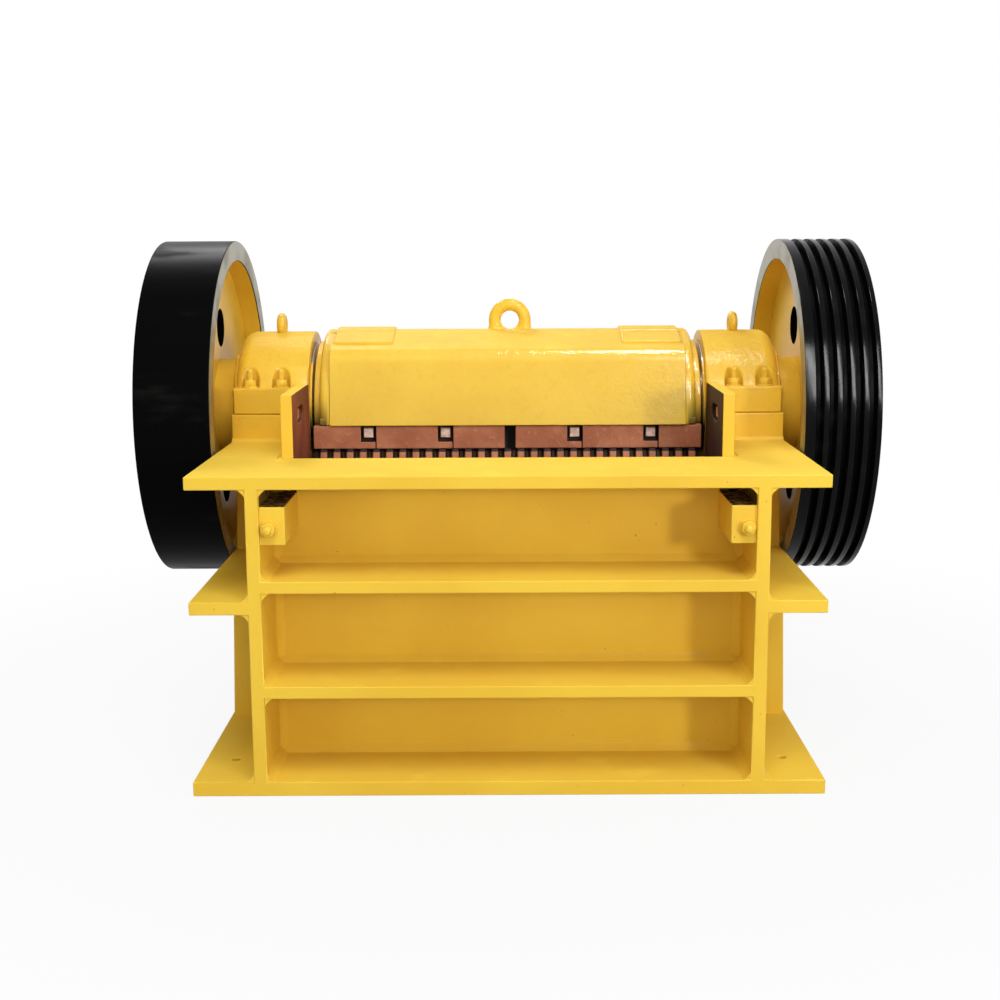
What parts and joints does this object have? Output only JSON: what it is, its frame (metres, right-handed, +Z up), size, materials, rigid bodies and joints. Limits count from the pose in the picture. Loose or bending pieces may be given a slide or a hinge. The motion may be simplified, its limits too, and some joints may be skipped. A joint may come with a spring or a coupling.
{
  "type": "jaw crusher",
  "caption": "Wide jaw crusher with a welded plate frame, a swing jaw on an eccentric shaft, toothed jaw plates, a flywheel and a grooved belt pulley.",
  "frame": {"origin": "middle of the machine's footprint, on the floor", "axes": "+X to the belt pulley, +Y from the feed side to the rear, +Z up"},
  "size_m": [2.137, 1.5, 1.47],
  "materials": {
    "frame_paint": "gloss",
    "jaw_paint": "gloss",
    "wheel_paint": "gloss",
    "wear_plate": "red primer",
    "machined_steel": "turned",
    "forged_steel": "oiled"
  },
  "bodies": {
    "frame": {"left_side_plate": "frame_paint", "right_side_plate": "frame_paint", "left_top_flange": "frame_paint", "right_top_flange": "frame_paint", "left_mid_flange": "frame_paint", "right_mid_flange": "frame_paint", "left_gussets": "frame_paint", "right_gussets": "frame_paint", "left_base_plate": "frame_paint", "right_base_plate": "frame_paint", "front_base_plate": "frame_paint", "rear_base_plate": "frame_paint", "front_wall": "frame_paint", "front_top_flange": "frame_paint", "front_upper_rib": "frame_paint", "front_lower_rib": "frame_paint", "rear_wall": "frame_paint", "rear_top_rib": "frame_paint", "rear_lower_rib": "frame_paint", "left_bolt_block": "frame_paint", "right_bolt_block": "frame_paint", "left_bearing_seat": "frame_paint", "right_bearing_seat": "frame_paint", "left_bearing_cap": "frame_paint", "right_bearing_cap": "frame_paint", "cap_lifting_eyes": "frame_paint", "toggle_seat": "frame_paint", "left_cheek_plate": "wear_plate", "right_cheek_plate": "wear_plate", "fixed_jaw_plate": "wear_plate", "left_bearing_covers": "machined_steel", "right_bearing_covers": "machined_steel", "toggle_plate": "forged_steel", "tension_rods": "forged_steel", "rod_springs": "forged_steel"},
    "rotor": {"eccentric_shaft": "machined_steel", "flywheel": "wheel_paint", "belt_pulley": "wheel_paint"},
    "jaw": {"swing_jaw": "jaw_paint", "left_jaw_cover": "jaw_paint", "right_jaw_cover": "jaw_paint", "jaw_lifting_eye": "jaw_paint", "moving_jaw_plate": "wear_plate", "left_clamp_bars": "wear_plate", "right_clamp_bars": "wear_plate"}
  },
  "joints": [
    {"name": "rotor_spin", "type": "hinge", "parent": "frame", "child": "rotor", "pos_m": [0, 0.181, 0.95], "axis": [1, 0, 0], "continuous": true},
    {"name": "jaw_swing", "type": "hinge", "parent": "rotor", "child": "jaw", "pos_m": [0, 0.181, 0.938], "axis": [1, 0, 0], "continuous": true}
  ],
  "couplings": [
    {"joint": "jaw_swing", "follows": "rotor_spin", "ratio": -1}
  ]
}
